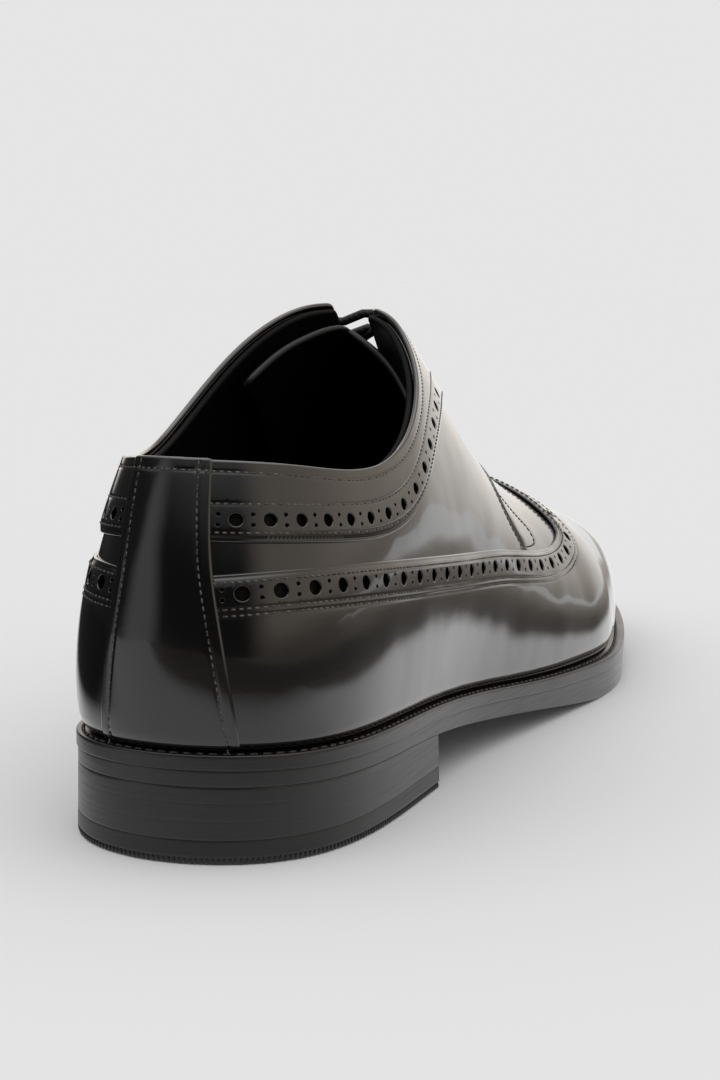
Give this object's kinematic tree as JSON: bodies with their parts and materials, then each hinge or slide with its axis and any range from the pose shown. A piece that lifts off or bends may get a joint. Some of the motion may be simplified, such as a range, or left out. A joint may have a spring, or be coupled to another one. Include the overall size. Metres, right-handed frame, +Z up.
{
  "type": "derby brogue shoe",
  "caption": "Right-foot longwing derby brogue in black polished leather: hollow upper with punched overlays, laced throat and tongue, on a welted sole with a low stacked heel.",
  "frame": {"origin": "middle of the shoe's plan box, on the floor it stands on", "axes": "+Y along the shoe from heel to toe, +X to its lateral (outer) side, +Z up"},
  "size_m": [0.1022, 0.3021, 0.1054],
  "materials": {
    "upper_leather": "high polish black leather",
    "panel_leather": "high polish black leather",
    "tongue_leather": "polished black leather",
    "insole_leather": "matt black leather",
    "welt_leather": "satin black edge dressing",
    "outsole_leather": "satin black edge dressing",
    "heel_leather": "satin black stacked leather",
    "top_piece_rubber": "matt black rubber",
    "lace_cotton": "waxed black cotton"
  },
  "bodies": {
    "root": {"upper": "upper_leather", "wing_tip": "panel_leather", "collar_panel_lateral": "panel_leather", "collar_panel_medial": "panel_leather", "back_strap": "panel_leather", "tongue": "tongue_leather", "insole": "insole_leather", "welt": "welt_leather", "outsole": "outsole_leather", "heel_stack": "heel_leather", "heel_top_piece": "top_piece_rubber", "lace": "lace_cotton"}
  },
  "joints": []
}
